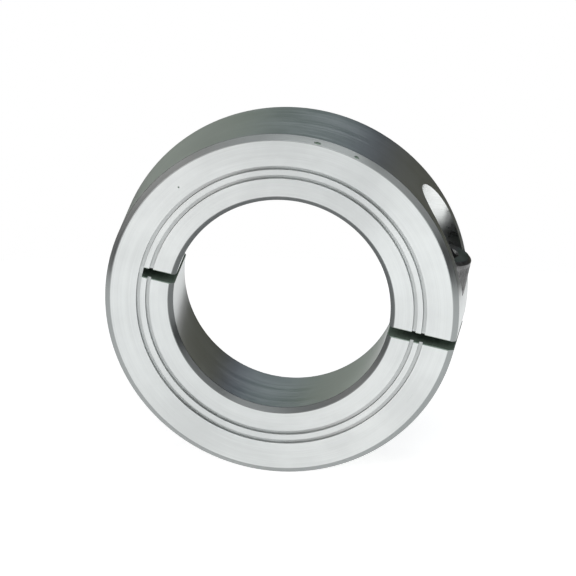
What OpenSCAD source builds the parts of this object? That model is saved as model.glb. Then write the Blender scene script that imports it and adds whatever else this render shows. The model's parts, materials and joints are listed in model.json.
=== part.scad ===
// One-piece clamp shaft collar.
// The ring is split through on one side and slotted part of the way on the other,
// so that the web left there lets it flex. A socket head screw lies across the split
// and draws it together onto the shaft.
// The origin is the middle of the bore, -Y is the grooved front face and +Z is up.

/* [Ring] */
// Diameter of the shaft that the collar clamps
bore_d = 35; // [33:0.5:36]
// Outside diameter of the ring
outer_d = 57; // [56:0.5:62]
// Width of the ring along the shaft
ring_w = 16; // [14:0.5:20]
// Chamfer on both outer edges
outer_chamfer = 0.8; // [0.3:0.1:1.2]
// Chamfer on both ends of the bore
bore_chamfer = 0.7; // [0.3:0.1:1.2]

/* [Front face grooves] */
// Diameter of the inner groove
inner_groove_d = 43.2; // [41:0.2:44]
// Diameter of the outer groove
outer_groove_d = 46.2; // [45.4:0.2:49]
// Width of each groove at the face
groove_w = 0.6; // [0.4:0.1:1]
// Depth of each groove
groove_depth = 0.8; // [0.3:0.1:1]

/* [Split and relief slot] */
// Width of the split and of the relief slot
split_w = 1.5; // [1:0.1:2.5]
// How far the split points below the horizontal as the collar stands, in degrees
split_drop = 12; // [0:1:90]
// Thickness of the flexing web left outside the relief slot
web_t = 5.7; // [3.5:0.1:8]

/* [Clamp screw] */
// Distance from the middle of the bore to the screw's axis
screw_offset = 22.8; // [22.4:0.1:23.4]
// Height of the head's seat above the middle of the split
seat_height = 6.5; // [5.5:0.1:8]
// Outside diameter of the thread
thread_d = 6; // [5.5:0.1:6]
// Length of the shank under the head
shank_len = 16; // [12:1:20]
// Diameter of the head
head_d = 10; // [9:0.1:10.2]
// Height of the head
head_h = 6; // [5:0.1:7]
// Width across the flats of the hex socket
socket_af = 5; // [4:0.5:5.5]
// Depth of the hex socket
socket_depth = 3; // [2:0.1:3.5]

/* [Screw hole] */
// Diameter of the pocket for the head
pocket_d = 10.6; // [10.4:0.1:11.4]
// Diameter of the clearance hole between the seat and the split
clearance_d = 6.6; // [6.3:0.1:7]
// Diameter of the drilled hole for the thread, where it runs out below the screw
tap_drill_d = 5; // [4.5:0.1:5.2]
// Radial gap between the screw's thread and the wall of the threaded hole
thread_gap = 0.05; // [0.01:0.01:0.1]

/* [Hidden] */
bore_r = bore_d / 2;
outer_r = outer_d / 2;
half_w = ring_w / 2;
thread_r = thread_d / 2;
head_r = head_d / 2;
// the slots run past the ring by this much, so that the cuts are clean
past = 2;
// edge breaks on the screw
head_chamfer = 0.5;
seat_chamfer = 0.25;
tip_chamfer = 0.7;
socket_lead = 0.35;
// a drill leaves a cone at the bottom of the socket, this deep for each mm of radius
drill_point = tan(30);
// the full thread runs this far below the tip of the screw
thread_runout = 1.5;
// facets round a full turn
ring_fn = 180;
screw_fn = 72;

// Turns a shape made round +Z so that it lies round the shaft's axis, with +Z to the front
module on_shaft_axis() rotate([90, 0, 0]) children();

// Turns a shape so that +X runs out along the split and +Z up the screw
module on_split() rotate([0, split_drop, 0]) children();

// A square groove in the front face, as profile points from the outside in
function groove_points(d) = [
    [d / 2 + groove_w / 2, half_w],
    [d / 2 + groove_w / 2, half_w - groove_depth],
    [d / 2 - groove_w / 2, half_w - groove_depth],
    [d / 2 - groove_w / 2, half_w]
];

// The ring before it is split: turned, chamfered and grooved
module turned_ring() {
    on_shaft_axis() rotate_extrude($fn = ring_fn) polygon(concat(
        [
            [bore_r, half_w - bore_chamfer],
            [bore_r, bore_chamfer - half_w],
            [bore_r + bore_chamfer, -half_w],
            [outer_r - outer_chamfer, -half_w],
            [outer_r, outer_chamfer - half_w],
            [outer_r, half_w - outer_chamfer],
            [outer_r - outer_chamfer, half_w]
        ],
        groove_points(outer_groove_d),
        groove_points(inner_groove_d),
        [[bore_r + bore_chamfer, half_w]]
    ));
}

// The split runs from the bore out through the rim
module split_cut() {
    translate([0, -half_w - past, -split_w / 2]) cube([outer_r + past, ring_w + 2 * past, split_w]);
}

// The relief slot opposite it stops at the web
module relief_cut() {
    reach = outer_r - web_t;
    translate([-reach, -half_w - past, -split_w / 2]) cube([reach, ring_w + 2 * past, split_w]);
}

// Head pocket, clearance hole, threaded hole and the drilled hole where it runs out
module screw_hole() {
    thread_end = seat_height - shank_len - thread_runout;
    translate([screw_offset, 0, seat_height]) cylinder(h = outer_r, d = pocket_d, $fn = screw_fn);
    translate([screw_offset, 0, 0]) cylinder(h = outer_r, d = clearance_d, $fn = screw_fn);
    translate([screw_offset, 0, thread_end])
        cylinder(h = -thread_end, r = thread_r + thread_gap, $fn = screw_fn);
    translate([screw_offset, 0, -outer_r]) cylinder(h = outer_r, d = tap_drill_d, $fn = screw_fn);
}

module collar_ring() {
    color([0.82, 0.84, 0.85]) difference() {
        turned_ring();
        on_split() {
            split_cut();
            relief_cut();
            screw_hole();
        }
    }
}

// Hex socket with a drill point below it and a small lead-in at its mouth
module hex_socket() {
    socket_r = socket_af / 2 / cos(30);
    floor_z = head_h - socket_depth;
    point_h = socket_af / 2 * drill_point;
    translate([0, 0, floor_z]) cylinder(h = socket_depth + past, r = socket_r, $fn = 6);
    translate([0, 0, floor_z - point_h]) cylinder(h = point_h, r1 = 0, r2 = socket_af / 2, $fn = screw_fn);
    translate([0, 0, head_h - socket_lead])
        cylinder(h = 2 * socket_lead, r1 = socket_af / 2, r2 = socket_af / 2 + 2 * socket_lead, $fn = screw_fn);
}

// Socket head cap screw, with the underside of its head on the seat
module clamp_screw() {
    color([0.13, 0.13, 0.14]) on_split() translate([screw_offset, 0, seat_height]) difference() {
        rotate_extrude($fn = screw_fn) polygon([
            [0, -shank_len],
            [thread_r - tip_chamfer, -shank_len],
            [thread_r, tip_chamfer - shank_len],
            [thread_r, 0],
            [head_r - seat_chamfer, 0],
            [head_r, seat_chamfer],
            [head_r, head_h - head_chamfer],
            [head_r - head_chamfer, head_h],
            [0, head_h]
        ]);
        hex_socket();
    }
}

collar_ring();
clamp_screw();
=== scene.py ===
"""Looks of a one-piece clamp shaft collar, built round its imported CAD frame.

The ring stands on its rim with the axis of its bore along Y and its grooved face to -Y.
A socket head screw crosses the split on the +X side and draws it together.
Meshes are built in millimetres and scaled to metres, the frame's unit, once they are whole.
"""

import json
import math

import bmesh
import bpy
from mathutils import Matrix, Vector


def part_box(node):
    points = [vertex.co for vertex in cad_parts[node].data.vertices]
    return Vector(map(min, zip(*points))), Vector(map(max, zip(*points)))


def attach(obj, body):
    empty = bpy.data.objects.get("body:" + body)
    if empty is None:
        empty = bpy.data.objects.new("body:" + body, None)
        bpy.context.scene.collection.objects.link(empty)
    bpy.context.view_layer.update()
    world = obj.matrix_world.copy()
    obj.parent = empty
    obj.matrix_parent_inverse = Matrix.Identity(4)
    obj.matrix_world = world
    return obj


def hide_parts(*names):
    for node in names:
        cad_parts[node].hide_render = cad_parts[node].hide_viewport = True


MM = 0.001

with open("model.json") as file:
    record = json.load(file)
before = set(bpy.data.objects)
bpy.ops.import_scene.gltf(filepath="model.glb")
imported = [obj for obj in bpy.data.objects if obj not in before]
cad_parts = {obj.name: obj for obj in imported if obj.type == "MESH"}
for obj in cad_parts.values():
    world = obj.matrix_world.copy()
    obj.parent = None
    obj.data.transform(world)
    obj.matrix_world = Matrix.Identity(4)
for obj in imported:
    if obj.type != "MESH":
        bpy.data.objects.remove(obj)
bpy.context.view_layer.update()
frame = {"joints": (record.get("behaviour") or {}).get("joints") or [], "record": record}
record = frame["record"]
mounts = {mount["name"]: mount for mount in record["mounts"]}

# ---------------------------------------------------------------- sizes, in millimetres

ring_low, ring_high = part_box("collar_ring")
OUTER_R = round(ring_high.z / MM, 1)
HALF_W = round(ring_high.y / MM, 1)
BORE_R = mounts["shaft_bore"]["dims"]["r_mm"]
OUTER_CHAMFER = 0.8
BORE_CHAMFER = HALF_W - mounts["shaft_bore"]["dims"]["length_mm"] / 2
EDGE_R = 0.12
GROOVE_EDGE_R = 0.06
GROOVE_RADII = (23.1, 21.6)
GROOVE_W = 0.6
GROOVE_DEPTH = 0.8

SPLIT_W = 1.5
SLOT_EDGE = 0.12
RELIEF_REACH = 22.8
RELIEF_CORNER = 0.25

SCREW_AXIS = Vector(frame["joints"][0]["axis"]).normalized()
SPLIT_DIR = Vector((0, 1, 0)).cross(SCREW_AXIS)
# takes x along the split, y along the bore and z up the screw to the row frame
SPLIT_FRAME = Matrix((SPLIT_DIR, (0, 1, 0), SCREW_AXIS)).transposed().to_4x4()
head_top = SPLIT_FRAME.inverted() @ Vector(mounts["key_socket"]["pos_m"]) / MM
SCREW_OFFSET = round(head_top.x, 1)
HEAD_H = 6
HEAD_R = 5
SEAT_Z = round(head_top.z, 1) - HEAD_H
SHANK_LEN = 16
THREAD_R = 3
THREAD_DEPTH = 0.585
PITCH = 1
NECK_LEN = 1.6
SOCKET_AF = 5
SOCKET_DEPTH = 3
POCKET_R = 5.3
CLEARANCE_R = 3.3
TAP_DRILL_R = 2.5
THREAD_GAP = 0.05
THREAD_BELOW_TIP = 1.5

# how far a cutter reaches past the face that it cuts through
PAST = 1

# knocks from handling: angle round the ring from +X in degrees, radius, y, length, width and depth
DENTS = (
    (78, 27.9, -7.7, 1.2, 0.42, 0.24),
    (64.5, 27.9, -7.7, 0.9, 0.42, 0.24),
    (81.5, 28.1, 7.7, 0.9, 0.5, 0.26),
    (130.5, 25.3, -8.0, 0.3, 0.16, 0.15),
)

RING_STEPS = 360
SCREW_STEPS = 96
KNURL_TEETH = 48
KNURL_DEPTH = 0.14

# ---------------------------------------------------------------- mesh tools


def new_object(name, bm):
    """Links a bmesh as an object, with its faces turned outwards."""
    bmesh.ops.recalc_face_normals(bm, faces=bm.faces)
    mesh = bpy.data.meshes.new(name)
    bm.to_mesh(mesh)
    bm.free()
    obj = bpy.data.objects.new(name, mesh)
    bpy.context.scene.collection.objects.link(obj)
    return obj


def rounded(corners, radii, closed, steps=4):
    """The outline through corners, with each one replaced by an arc of its radius."""
    points = []
    count = len(corners)
    for i, corner in enumerate(corners):
        at_end = not closed and i in (0, count - 1)
        here = Vector(corner)
        if at_end or radii[i] == 0:
            points.append(here)
            continue
        before = (Vector(corners[i - 1]) - here).normalized()
        after = (Vector(corners[(i + 1) % count]) - here).normalized()
        half = before.angle(after) / 2
        back = radii[i] / math.tan(half)
        middle = here + (before + after).normalized() * (radii[i] / math.sin(half))
        start = (here + before * back - middle).normalized()
        end = (here + after * back - middle).normalized()
        for k in range(steps + 1):
            points.append(middle + start.slerp(end, k / steps) * radii[i])
    return points


def lathe(name, profile, steps, closed, radius_at=None):
    """Turns a profile of (radius, height) points round +Z. An open one starts and ends on the axis."""
    bm = bmesh.new()
    inner = profile if closed else profile[1:-1]
    rows = []
    for j in range(steps):
        turn = 2 * math.pi * j / steps
        row = []
        for radius, height in inner:
            r = radius if radius_at is None else radius_at(radius, height, turn)
            row.append(bm.verts.new((r * math.cos(turn), r * math.sin(turn), height)))
        rows.append(row)
    if not closed:
        first = bm.verts.new((0, 0, profile[0][1]))
        last = bm.verts.new((0, 0, profile[-1][1]))
    for j in range(steps):
        a, b = rows[j], rows[(j + 1) % steps]
        for i in range(len(inner) if closed else len(inner) - 1):
            n = (i + 1) % len(inner)
            bm.faces.new((a[i], b[i], b[n], a[n]))
        if not closed:
            bm.faces.new((first, b[0], a[0]))
            bm.faces.new((last, a[-1], b[-1]))
    return new_object(name, bm)


def loft(name, outlines):
    """A closed solid through outlines, each a list of points with the same count."""
    bm = bmesh.new()
    rings = [[bm.verts.new(point) for point in outline] for outline in outlines]
    count = len(rings[0])
    for low, high in zip(rings, rings[1:]):
        for i in range(count):
            n = (i + 1) % count
            bm.faces.new((low[i], low[n], high[n], high[i]))
    bm.faces.new(rings[0])
    bm.faces.new(rings[-1])
    return new_object(name, bm)


def helix_solid(name, crest_r, root_r, low, high, steps):
    """A solid with a right-hand 60 degree thread of the screw's pitch, its ends closed by fans."""
    crest_flat = PITCH / 8
    flank = (crest_r - root_r) * math.tan(math.radians(30))
    root_flat = PITCH - crest_flat - 2 * flank
    tooth = (
        (0, root_r),
        (root_flat, root_r),
        (root_flat + flank, crest_r),
        (root_flat + flank + crest_flat, crest_r),
    )
    # the middle of each root flat stays in place whatever the radii, so two such threads mesh
    start = low - root_flat / 2
    turns = math.ceil((high - low) / PITCH)
    rows = [(start + k * PITCH + rise, r) for k in range(turns + 1) for rise, r in tooth]
    bm = bmesh.new()
    columns = []
    for j in range(steps):
        turn = 2 * math.pi * j / steps
        rise = PITCH * j / steps
        columns.append(
            [bm.verts.new((r * math.cos(turn), r * math.sin(turn), z + rise)) for z, r in rows]
        )
    per_turn = len(tooth)
    # the column after a full turn is the first one, a pitch higher
    columns.append(columns[0][per_turn:])
    for j in range(steps):
        a, b = columns[j], columns[j + 1]
        for i in range(len(rows) - 1):
            if j == steps - 1 and i + 1 >= len(b):
                continue
            bm.faces.new((a[i], b[i], b[i + 1], a[i + 1]))
    bm.verts.ensure_lookup_table()
    for ends in boundary_loops(bm):
        height = sum(v.co.z for v in ends) / len(ends)
        tip = bm.verts.new((0, 0, height))
        for v, w in zip(ends, ends[1:] + ends[:1]):
            bm.faces.new((v, w, tip))
    return new_object(name, bm)


def boundary_loops(bm):
    """The loops of vertices round each open end of a mesh."""
    waiting = {edge for edge in bm.edges if edge.is_boundary}
    loops = []
    while waiting:
        edge = waiting.pop()
        first, at = edge.verts
        loop = [first]
        while at != first:
            loop.append(at)
            edge = next(e for e in at.link_edges if e in waiting)
            waiting.remove(edge)
            at = edge.other_vert(at)
        loops.append(loop)
    return loops


def settle(obj):
    """Applies the modifiers of an object to its mesh."""
    view = bpy.context.evaluated_depsgraph_get()
    mesh = bpy.data.meshes.new_from_object(obj.evaluated_get(view))
    old = obj.data
    obj.modifiers.clear()
    obj.data = mesh
    mesh.name = old.name
    bpy.data.meshes.remove(old)


def combine(target, tools, operation):
    """Cuts the tools from the target, adds them to it, or keeps what they share."""
    for tool in tools:
        step = target.modifiers.new(operation, "BOOLEAN")
        step.operation = operation
        step.solver = "MANIFOLD"
        step.material_mode = "TRANSFER"
        step.object = tool
    settle(target)
    for tool in tools:
        mesh = tool.data
        bpy.data.objects.remove(tool)
        bpy.data.meshes.remove(mesh)


def place(obj, matrix):
    """Moves the mesh of an object, which itself stays at the origin."""
    obj.data.transform(matrix)
    return obj


def dress(obj, material):
    """Gives an object one material all over."""
    obj.data.materials.clear()
    obj.data.materials.append(material)


def soften(obj, join_gap, sharp_degrees):
    """Joins stray close points and shades smoothly except across the sharp edges."""
    bm = bmesh.new()
    bm.from_mesh(obj.data)
    bmesh.ops.remove_doubles(bm, verts=bm.verts, dist=join_gap)
    bmesh.ops.dissolve_degenerate(bm, edges=bm.edges, dist=join_gap / 10)
    for face in bm.faces:
        face.smooth = True
    for edge in bm.edges:
        edge.smooth = edge.is_manifold and edge.calc_face_angle() < math.radians(sharp_degrees)
    bm.to_mesh(obj.data)
    bm.free()
    shade = obj.modifiers.new("shading", "WEIGHTED_NORMAL")
    shade.keep_sharp = True
    shade.weight = 50
    settle(obj)


# ---------------------------------------------------------------- ring


def groove_corners(radius):
    """The four corners of a square groove in the front face, from the outside in."""
    outer, inner = radius + GROOVE_W / 2, radius - GROOVE_W / 2
    bottom = HALF_W - GROOVE_DEPTH
    return [(outer, HALF_W), (outer, bottom), (inner, bottom), (inner, HALF_W)]


def turned_ring():
    """The ring before it is cut: turned, chamfered and grooved, with every edge slightly round."""
    corners = [
        (BORE_R, HALF_W - BORE_CHAMFER),
        (BORE_R, BORE_CHAMFER - HALF_W),
        (BORE_R + BORE_CHAMFER, -HALF_W),
        (OUTER_R - OUTER_CHAMFER, -HALF_W),
        (OUTER_R, OUTER_CHAMFER - HALF_W),
        (OUTER_R, HALF_W - OUTER_CHAMFER),
        (OUTER_R - OUTER_CHAMFER, HALF_W),
    ]
    radii = [EDGE_R] * len(corners)
    for radius in GROOVE_RADII:
        corners += groove_corners(radius)
        radii += [GROOVE_EDGE_R] * 4
    corners.append((BORE_R + BORE_CHAMFER, HALF_W))
    radii.append(EDGE_R)
    ring = lathe("ring_body", rounded(corners, radii, True), RING_STEPS, True)
    # turned round +Z with the grooves on top, so the top is laid over to the front
    return place(ring, Matrix.Rotation(math.pi / 2, 4, "X"))


def flared(outline_at):
    """Outlines along the bore that open out past both faces, which breaks the slot's edges."""
    return [
        [(x, y, z) for x, z in outline_at(grow)]
        for y, grow in (
            (-HALF_W - PAST, PAST + SLOT_EDGE),
            (SLOT_EDGE - HALF_W, 0),
            (HALF_W - SLOT_EDGE, 0),
            (HALF_W + PAST, PAST + SLOT_EDGE),
        )
    ]


def split_outline(grow):
    """The split, which opens out a little where it meets the bore and the rim."""
    half = SPLIT_W / 2 + grow
    wide = half + PAST + SLOT_EDGE
    top = [
        (BORE_R - PAST, wide),
        (BORE_R + SLOT_EDGE, half),
        (OUTER_R - SLOT_EDGE, half),
        (OUTER_R + PAST, wide),
    ]
    bottom = [(x, -height) for x, height in reversed(top)]
    return top + bottom


def relief_outline(grow):
    """The relief slot, from the bore to its closed end near the rim."""
    half = SPLIT_W / 2 + grow
    end = -RELIEF_REACH - grow
    corners = [
        (PAST - BORE_R, half + PAST + SLOT_EDGE),
        (-SLOT_EDGE - BORE_R, half),
        (end, half),
        (end, -half),
        (-SLOT_EDGE - BORE_R, -half),
        (PAST - BORE_R, -half - PAST - SLOT_EDGE),
    ]
    corner = RELIEF_CORNER + grow
    return rounded(corners, [0, 0, corner, corner, 0, 0], True)


def screw_hole():
    """Head pocket, seat, clearance hole and drilled hole, as one turned shape round the screw."""
    # well outside the ring
    top = 1.2 * OUTER_R
    seat_corner = 0.3
    mouth = 0.3
    entry = 0.35
    corners = [
        (0, top),
        (POCKET_R, top),
        (POCKET_R, SEAT_Z),
        (CLEARANCE_R + mouth, SEAT_Z),
        (CLEARANCE_R, SEAT_Z - mouth),
        (CLEARANCE_R, 0),
        (CLEARANCE_R, -SPLIT_W / 2),
        (TAP_DRILL_R, -SPLIT_W / 2 - (CLEARANCE_R - TAP_DRILL_R) - entry),
        (TAP_DRILL_R, -top),
        (0, -top),
    ]
    radii = [0, 0, seat_corner] + [0] * 7
    return lathe("hole", rounded(corners, radii, False), SCREW_STEPS, False)


def ring_thread():
    """What the tap cuts: a thread that the screw's own thread fills but for the gap."""
    low = SEAT_Z - SHANK_LEN - THREAD_BELOW_TIP
    in_the_split = -SPLIT_W / 4
    crest_r = THREAD_R + THREAD_GAP
    root_r = THREAD_R - THREAD_DEPTH + THREAD_GAP
    return helix_solid("tap", crest_r, root_r, low, in_the_split, SCREW_STEPS)


def dents():
    """Small knocks on the edges and one pit in the front face, as blunt lens-shaped cutters."""
    tools = []
    for angle, radius, y, length, width, depth in DENTS:
        bm = bmesh.new()
        bmesh.ops.create_icosphere(bm, subdivisions=3, radius=0.5)
        tool = new_object("dent", bm)
        place(tool, Matrix.Diagonal((depth * 2, width, length, 1)))
        place(tool, Matrix.Translation((radius, y, 0)))
        tools.append(place(tool, Matrix.Rotation(-math.radians(angle), 4, "Y")))
    return tools


def collar_ring(turned, milled, painted_dark):
    """The ring with its cuts, each dressed in its own material; the slots and knocks are painted dark
    as painted shade.
    """
    ring = turned_ring()
    dress(ring, turned)
    split = place(loft("split", flared(split_outline)), SPLIT_FRAME)
    relief = place(loft("relief", flared(relief_outline)), SPLIT_FRAME)
    at_screw = SPLIT_FRAME @ Matrix.Translation((SCREW_OFFSET, 0, 0))
    hole = place(screw_hole(), at_screw)
    tap = place(ring_thread(), at_screw)
    # the slots are painted dark, as painted shade
    for tool in (split, relief):
        dress(tool, painted_dark)
    for tool in (hole, tap):
        dress(tool, milled)
    # the knocks are painted dark like the slots, as painted shade
    knocks = dents()
    for tool in knocks:
        dress(tool, painted_dark)
    combine(ring, [split, relief, hole, tap] + knocks, "DIFFERENCE")
    return ring


# ---------------------------------------------------------------- screw


def knurled(radius, height, turn):
    """The radius of the head's side with its straight knurl, which fades out at both ends."""
    fade = 0.5
    low, high = 0.5, HEAD_H - 0.9
    close = 0.01
    if radius < HEAD_R - close or not low < height < high:
        return radius
    strength = min(1, (height - low) / fade, (high - height) / fade)
    phase = (turn * KNURL_TEETH / (2 * math.pi)) % 1
    return radius - KNURL_DEPTH * strength * abs(2 * phase - 1)


def screw_head():
    """Head and neck, turned round +Z with the underside of the head at zero."""
    neck_r = THREAD_R - THREAD_DEPTH / 2
    # rows lie close together where the knurl fades out
    side = [(HEAD_R, height) for height in (0.5, 0.75, 1, 2, 3, 4, 4.6, 4.85, 5.1)]
    neck_fillet = 0.25
    low_chamfer, low_blend = 0.2, 0.1
    profile = rounded(
        [
            (0, -NECK_LEN),
            (neck_r, -NECK_LEN),
            (neck_r, 0),
            (HEAD_R - low_chamfer, 0),
            (HEAD_R, low_chamfer),
        ],
        [0, 0, neck_fillet, low_blend, 0],
        False,
    )
    top_chamfer, top_blend = 0.5, 0.25
    top = rounded(
        [side[-1], (HEAD_R, HEAD_H - top_chamfer), (HEAD_R - top_chamfer, HEAD_H), (0, HEAD_H)],
        [0, top_blend, top_blend, 0],
        False,
        steps=5,
    )
    profile += [Vector(point) for point in side[:-1]] + top
    steps_per_tooth = 6
    return lathe("cap_screw", profile, KNURL_TEETH * steps_per_tooth, False, knurled)


def screw_thread():
    """The threaded shank, with its tip chamfered."""
    tip = 0.7
    low = -SHANK_LEN
    root_r = THREAD_R - THREAD_DEPTH
    thread = helix_solid("thread", THREAD_R, root_r, low - PITCH, PITCH, SCREW_STEPS)
    just_outside = THREAD_R + 0.01
    runs_out_at = THREAD_DEPTH - NECK_LEN
    envelope = lathe(
        "envelope",
        [
            (0, low),
            (THREAD_R - tip, low),
            (just_outside, low + tip),
            (just_outside, -NECK_LEN),
            (root_r, runs_out_at),
            (0, runs_out_at),
        ],
        SCREW_STEPS,
        False,
    )
    combine(thread, [envelope], "INTERSECT")
    return thread


def hex_socket():
    """The socket's hexagon, with a corner on +X."""
    radius = SOCKET_AF / 2 / math.cos(math.radians(30))
    corners = [
        (radius * math.cos(math.radians(60 * k)), radius * math.sin(math.radians(60 * k)))
        for k in range(6)
    ]
    outline = rounded(corners, [EDGE_R] * 6, True)
    ends = (HEAD_H - SOCKET_DEPTH, HEAD_H + PAST)
    return loft("hexagon", [[(x, y, z) for x, y in outline] for z in ends])


def socket_cones():
    """The drill point under the socket and the lead-in at its mouth."""
    drill_r = SOCKET_AF / 2 - 0.05
    floor = HEAD_H - SOCKET_DEPTH
    drilled_to = floor - drill_r * math.tan(math.radians(30))
    above = floor + PAST
    point = lathe(
        "point", [(0, drilled_to), (drill_r, floor), (drill_r, above), (0, above)], SCREW_STEPS, False
    )
    lead = 0.35
    mouth = lathe(
        "mouth",
        [
            (0, HEAD_H - lead),
            (SOCKET_AF / 2, HEAD_H - lead),
            (SOCKET_AF / 2 + 2 * lead, HEAD_H + lead),
            (0, HEAD_H + lead),
        ],
        SCREW_STEPS,
        False,
    )
    return [point, mouth]


def clamp_screw():
    """The whole screw, seated in its pocket."""
    screw = screw_head()
    combine(screw, [screw_thread()], "UNION")
    combine(screw, [hex_socket()] + socket_cones(), "DIFFERENCE")
    return place(screw, SPLIT_FRAME @ Matrix.Translation((SCREW_OFFSET, 0, SEAT_Z)))


# ---------------------------------------------------------------- materials


class Nodes:
    """A few short calls for building a node tree."""

    def __init__(self, tree):
        self.tree = tree
        self.tree.nodes.clear()

    def add(self, kind, inputs=None, **settings):
        node = self.tree.nodes.new(kind)
        for name, value in settings.items():
            setattr(node, name, value)
        for key, value in (inputs or {}).items():
            socket = node.inputs[key]
            if isinstance(value, bpy.types.NodeSocket):
                self.tree.links.new(value, socket)
            else:
                socket.default_value = value
        return node

    def place(self):
        """The point on the object that is being shaded."""
        return self.add("ShaderNodeTexCoord").outputs["Object"]

    def parts(self, vector):
        return self.add("ShaderNodeSeparateXYZ", {0: vector}).outputs

    def vector(self, x, y, z):
        return self.add("ShaderNodeCombineXYZ", {0: x, 1: y, 2: z}).outputs[0]

    def dot(self, a, b):
        node = self.add("ShaderNodeVectorMath", {0: a, 1: b}, operation="DOT_PRODUCT")
        return node.outputs["Value"]

    def math(self, operation, a, b=0.0, c=0.0):
        return self.add("ShaderNodeMath", {0: a, 1: b, 2: c}, operation=operation).outputs[0]

    def mean(self, a, b):
        return self.math("MULTIPLY_ADD", a, 0.5, self.math("MULTIPLY", b, 0.5))

    def span(self, value, low, high, to_low, to_high):
        node = self.add(
            "ShaderNodeMapRange",
            {"Value": value, "From Min": low, "From Max": high, "To Min": to_low, "To Max": to_high},
            interpolation_type="SMOOTHSTEP",
        )
        return node.outputs[0]

    def noise(self, vector, scale, detail, roughness):
        node = self.add(
            "ShaderNodeTexNoise",
            {"Vector": vector, "Scale": scale, "Detail": detail, "Roughness": roughness},
        )
        return node.outputs[0]

    def blend(self, factor, a, b):
        """From the colour a to the colour b, each a socket or red, green and blue."""
        a, b = (c if isinstance(c, bpy.types.NodeSocket) else (*c, 1) for c in (a, b))
        return self.add("ShaderNodeMix", {0: factor, 6: a, 7: b}, data_type="RGBA").outputs[2]

    def mottle(self, tone, dark, light):
        """A colour that follows a tone, which as a mean of noises seldom leaves this range."""
        return self.blend(self.span(tone, 0.35, 0.65, 0.0, 1.0), dark, light)

    def sheen(self, tone, smooth, rough):
        """A roughness that follows a tone."""
        return self.span(tone, 0.3, 0.7, smooth, rough)

    def scratches(self, marks, strength, depth):
        """The surface with marks in it, their depth in millimetres."""
        bump = self.add(
            "ShaderNodeBump", {"Strength": strength, "Distance": depth * MM, "Height": marks}
        )
        return bump.outputs[0]

    def output(self, inputs):
        surface = self.add("ShaderNodeBsdfPrincipled", inputs)
        self.add("ShaderNodeOutputMaterial", {0: surface.outputs[0]})


def new_material(name):
    material = bpy.data.materials.new(name)
    material.use_nodes = True
    return material, Nodes(material.node_tree)


def painted_shade_bands(n, radius, y):
    """How far a point is on the outer chamfers, on the bore's chamfers and in the grooves, the bands
    that get painted shade.
    """
    off_middle = n.math("ABSOLUTE", y)
    blur = 0.08 * MM
    outer_edge = (HALF_W + OUTER_R - OUTER_CHAMFER) * MM
    bore_edge = (HALF_W - BORE_R - BORE_CHAMFER) * MM
    outer, bore = (
        n.span(n.math(operation, off_middle, radius), edge - 2 * blur, edge - blur, 0.0, 1.0)
        for operation, edge in (("ADD", outer_edge), ("SUBTRACT", bore_edge))
    )
    # the face itself is left out, and the band reaches past both grooves
    below_face = 0.04
    band = 1.5
    groove_middle = below_face + GROOVE_DEPTH / 2 - HALF_W
    in_depth = n.math("COMPARE", y, groove_middle * MM, GROOVE_DEPTH / 2 * MM)
    in_band = n.math("COMPARE", radius, sum(GROOVE_RADII) / 2 * MM, band * MM)
    return outer, bore, n.math("MULTIPLY", in_depth, in_band)


def turned_steel():
    """Bright plated steel with the fine marks that a lathe leaves round the bore's axis."""
    material, n = new_material("turned_steel")
    spot = n.place()
    x, y, z = n.parts(spot)
    radius = n.math("SQRT", n.math("MULTIPLY_ADD", x, x, n.math("MULTIPLY", z, z)))
    # marks change fast across the cut and hardly at all along it
    along = 0.02
    lathe_marks = n.vector(radius, y, n.math("MULTIPLY", x, along))
    fine = n.noise(lathe_marks, scale=9000.0, detail=2.0, roughness=0.6)
    coarse = n.noise(lathe_marks, scale=1800.0, detail=3.0, roughness=0.6)
    cloud = n.noise(spot, scale=90.0, detail=4.0, roughness=0.55)
    marks = n.mean(fine, coarse)
    bright = n.mottle(n.mean(marks, cloud), (0.545, 0.565, 0.562), (0.64, 0.665, 0.66))
    # the chamfers and grooves are blended towards dark grey: painted shade for the dark reflections on
    # the chamfers and the shade down in the grooves
    outer_chamfer, bore_chamfer, groove = painted_shade_bands(n, radius, y)
    on_chamfer, in_groove = 0.69, 0.2
    chamfer_groove_shade = n.math(
        "MAXIMUM",
        n.math("MULTIPLY", outer_chamfer, on_chamfer),
        n.math("MULTIPLY", groove, in_groove),
    )
    colour = n.blend(chamfer_groove_shade, bright, (0.165, 0.18, 0.18))
    cloudy = 0.1
    n.output(
        {
            # the bore's chamfers are painted dark grey all over, as painted shade
            "Base Color": n.blend(bore_chamfer, colour, (0.17, 0.18, 0.18)),
            "Metallic": 1.0,
            "Roughness": n.math("MULTIPLY_ADD", cloud, cloudy, n.sheen(marks, 0.24, 0.34)),
            "Anisotropic": 0.7,
            "Anisotropic Rotation": 0.25,
            "Tangent": n.add("ShaderNodeTangent", direction_type="RADIAL", axis="Y").outputs[0],
            "Normal": n.scratches(marks, 0.25, 0.004),
        }
    )
    return material


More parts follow.
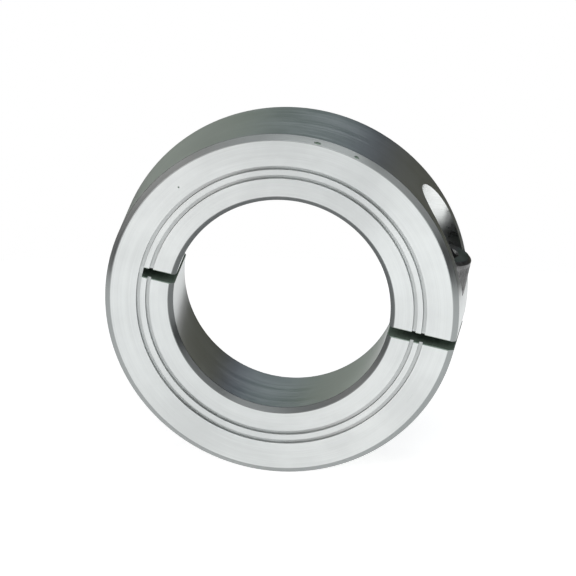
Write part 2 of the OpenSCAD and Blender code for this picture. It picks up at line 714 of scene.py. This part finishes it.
def milled_steel():
    """The same steel in the head's pocket and the hole, with the cutter's faint marks round it."""
    material, n = new_material("milled_steel")
    spot = n.place()
    x, y, _ = n.parts(spot)
    height = n.dot(spot, SCREW_AXIS)
    along = 0.1
    cut = n.vector(height, n.math("MULTIPLY", y, along), n.math("MULTIPLY", x, along))
    marks = n.noise(cut, scale=5000.0, detail=3.0, roughness=0.6)
    cloud = n.noise(spot, scale=300.0, detail=3.0, roughness=0.5)
    tone = n.mean(marks, cloud)
    clean = n.mottle(tone, (0.68, 0.70, 0.69), (0.80, 0.82, 0.81))
    # the tapped half below the split is darker, and the pocket wall just above the head is darkened as
    # painted shade
    below_split = n.span(height, -MM, MM, to_low=0.6, to_high=0.0)
    over_head = (SEAT_Z + HEAD_H) * MM
    round_head = n.span(height, over_head + MM, over_head + 4 * MM, to_low=0.8, to_high=0.0)
    dark_tap_and_head_shade = n.math("MAXIMUM", below_split, round_head)
    n.output(
        {
            "Base Color": n.blend(dark_tap_and_head_shade, clean, (0.12, 0.13, 0.125)),
            "Metallic": 1.0,
            "Roughness": n.sheen(tone, 0.26, 0.36),
            "Normal": n.scratches(marks, 0.2, 0.004),
        }
    )
    return material


def painted_shade_steel():
    """The walls of the two slots, painted dark green-grey as painted shade, and crossed by the saw's
    marks.
    """
    material, n = new_material("painted_shade_steel")
    spot = n.place()
    across = n.dot(spot, SPLIT_DIR)
    along = 0.08
    cut = n.vector(across, n.math("MULTIPLY", n.parts(spot)[1], along), 0.0)
    marks = n.noise(cut, scale=3500.0, detail=3.0, roughness=0.6)
    cloud = n.noise(spot, scale=250.0, detail=3.0, roughness=0.5)
    tone = n.mean(marks, cloud)
    n.output(
        {
            # the dark colour is painted shade
            "Base Color": n.mottle(tone, (0.13, 0.18, 0.145), (0.24, 0.30, 0.26)),
            "Metallic": 0.6,
            "Roughness": n.sheen(tone, 0.38, 0.5),
            "Normal": n.scratches(marks, 0.3, 0.006),
        }
    )
    return material


def black_oxide():
    """Black oxide on alloy steel, slightly oily, with a fine uneven grain."""
    material, n = new_material("black_oxide")
    spot = n.place()
    grain = n.noise(spot, scale=5000.0, detail=3.0, roughness=0.6)
    cloud = n.noise(spot, scale=400.0, detail=3.0, roughness=0.5)
    tone = n.mean(grain, cloud)
    n.output(
        {
            "Base Color": n.mottle(tone, (0.09, 0.09, 0.09), (0.20, 0.20, 0.20)),
            "Metallic": 0.85,
            "Roughness": n.sheen(tone, 0.26, 0.42),
            "Normal": n.scratches(grain, 0.3, 0.004),
        }
    )
    return material


# ---------------------------------------------------------------- object

ring = collar_ring(turned_steel(), milled_steel(), painted_shade_steel())
soften(ring, join_gap=0.016, sharp_degrees=30)
place(ring, Matrix.Scale(MM, 4))
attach(ring, "ring")
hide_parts("collar_ring")

screw = clamp_screw()
soften(screw, join_gap=0.008, sharp_degrees=35)
place(screw, Matrix.Scale(MM, 4))
dress(screw, black_oxide())
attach(screw, "screw")
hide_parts("clamp_screw")

# ---------------------------------------------------------------- studio

# soft panels of the room: name, bearing from +Y towards +X and height in degrees,
# angle of the even middle and of the outer edge, and colour
ROOM_PANELS = (
    ("ceiling", 0, 88, 25, 50, (0.80, 0.82, 0.82)),
    ("left_front", -135, 15, 15, 40, (2.1, 2.0, 1.98)),
    ("back_left", -24, 4, 8, 20, (0.38, 0.435, 0.375)),
    ("back_mid", -4, 20, 8, 20, (0.07, 0.105, 0.02)),
    ("back_right", 20, 2, 8, 20, (0.11, 0.11, 0.08)),
    ("back_high", 5, 45, 15, 35, (0.0, 0.02, 0.10)),
)
FLOOR_REACH = 0.26
FLOOR_FORWARD = 0.16
FLOOR_TONE = 0.6
FLOOR_GLOW = 0.7


def pale_floor():
    """A round pale floor under the collar, most of it in front."""
    bm = bmesh.new()
    bmesh.ops.create_circle(bm, cap_ends=True, radius=FLOOR_REACH, segments=96)
    floor = new_object("floor", bm)
    floor.location = (0, -FLOOR_FORWARD, ring_low.z)
    material, n = new_material("floor_paint")
    n.output(
        {
            "Base Color": (FLOOR_TONE, FLOOR_TONE, FLOOR_TONE, 1),
            "Roughness": 0.9,
            "Emission Color": (1, 1, 1, 1),
            "Emission Strength": FLOOR_GLOW,
        }
    )
    dress(floor, material)


def soft_light(name, direction, distance, size, power):
    """A square soft light that faces the collar and isn't seen itself."""
    lamp = bpy.data.lights.new(name, "AREA")
    lamp.shape = "SQUARE"
    lamp.size = size
    lamp.energy = power
    obj = bpy.data.objects.new(name, lamp)
    away = Vector(direction).normalized()
    obj.location = away * distance
    obj.rotation_euler = away.to_track_quat("Z", "Y").to_euler()
    obj.visible_camera = False
    bpy.context.scene.collection.objects.link(obj)


def towards(bearing, height):
    """The direction at a bearing from +Y towards +X and a height above the horizon, in degrees."""
    turn, rise = math.radians(bearing), math.radians(height)
    return (math.sin(turn) * math.cos(rise), math.cos(turn) * math.cos(rise), math.sin(rise))


def studio_world():
    """Plain white behind the floor for the camera, and soft panels for everything else."""
    world = bpy.data.worlds.new("studio")
    world.use_nodes = True
    bpy.context.scene.world = world
    n = Nodes(world.node_tree)
    direction = n.add("ShaderNodeTexCoord").outputs["Generated"]
    room = None
    for name, bearing, height, inner, outer, colour in ROOM_PANELS:
        facing = n.dot(direction, towards(bearing, height))
        low, high = math.cos(math.radians(outer)), math.cos(math.radians(inner))
        inside = n.span(facing, low, high, 0.0, 1.0)
        panel = n.add("ShaderNodeBackground", {0: (*colour, 1), 1: inside}, label=name).outputs[0]
        if room is None:
            room = panel
        else:
            room = n.add("ShaderNodeAddShader", {0: room, 1: panel}).outputs[0]
    seen = n.add("ShaderNodeLightPath").outputs["Is Camera Ray"]
    white = n.add("ShaderNodeBackground", {0: (1, 1, 1, 1), 1: 1.0})
    both = n.add("ShaderNodeMixShader", {0: seen, 1: room, 2: white.outputs[0]})
    n.add("ShaderNodeOutputWorld", {0: both.outputs[0]})


pale_floor()
soft_light("front_top", (0.2, -1, 0.8), distance=0.6, size=0.4, power=1.45)
soft_light("right_side", (1, -0.5, 0.6), distance=0.6, size=0.4, power=0.45)
soft_light("right_front", (1, -2, 0.1), distance=0.2, size=0.06, power=0.033)
studio_world()
bpy.context.scene.view_settings.view_transform = "Standard"

# ---------------------------------------------------------------- camera

VIEW_AZIMUTH = math.radians(6.7032)
VIEW_ELEVATION = math.radians(18.7334)
VIEW_DISTANCE = 1.34173
# how far the middle of the view lies to the right of and above the middle of the front face
VIEW_RIGHT = 1.1 * MM
VIEW_UP = 2.8 * MM

back = Vector(
    (
        math.sin(VIEW_AZIMUTH) * math.cos(VIEW_ELEVATION),
        -math.cos(VIEW_AZIMUTH) * math.cos(VIEW_ELEVATION),
        math.sin(VIEW_ELEVATION),
    )
)
right = Vector((0, 0, 1)).cross(back).normalized()
up = back.cross(right)
camera_data = bpy.data.cameras.new("camera")
camera_data.lens = 525
camera_data.sensor_width = 36
camera_data.clip_end = 10
camera = bpy.data.objects.new("camera", camera_data)
front_middle = Vector((0, -HALF_W * MM, 0))
camera.location = front_middle + right * VIEW_RIGHT + up * VIEW_UP + back * VIEW_DISTANCE
camera.rotation_euler = Matrix((right, up, back)).transposed().to_euler()
bpy.context.scene.collection.objects.link(camera)
bpy.context.scene.camera = camera
